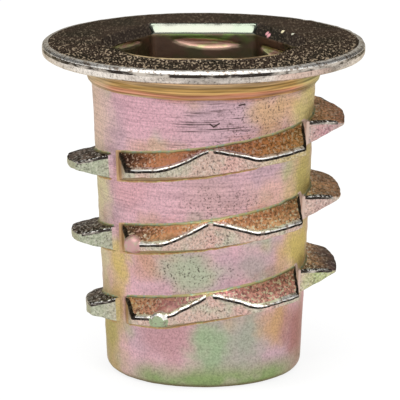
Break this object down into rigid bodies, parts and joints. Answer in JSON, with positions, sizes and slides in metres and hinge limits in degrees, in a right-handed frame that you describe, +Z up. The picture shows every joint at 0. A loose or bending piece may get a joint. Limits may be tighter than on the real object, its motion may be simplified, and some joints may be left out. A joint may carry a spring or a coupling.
{
  "type": "threaded insert",
  "caption": "Flanged screw-in insert for wood: hexagon drive socket, internal machine thread, and a coarse gapped wood thread on a tapered body.",
  "frame": {"origin": "centre of the plain end, on the axis, where the part stands", "axes": "+Z up the axis from the plain end to the flange, with flats of the hexagon facing +Y and -Y"},
  "size_m": [0.0144, 0.0144, 0.015],
  "materials": {
    "chromated_zinc": "yellow-chromated zinc, iridescent pink, gold and green, satin with fine tool marks"
  },
  "bodies": {
    "root": {"insert_body": "chromated_zinc"}
  },
  "joints": []
}
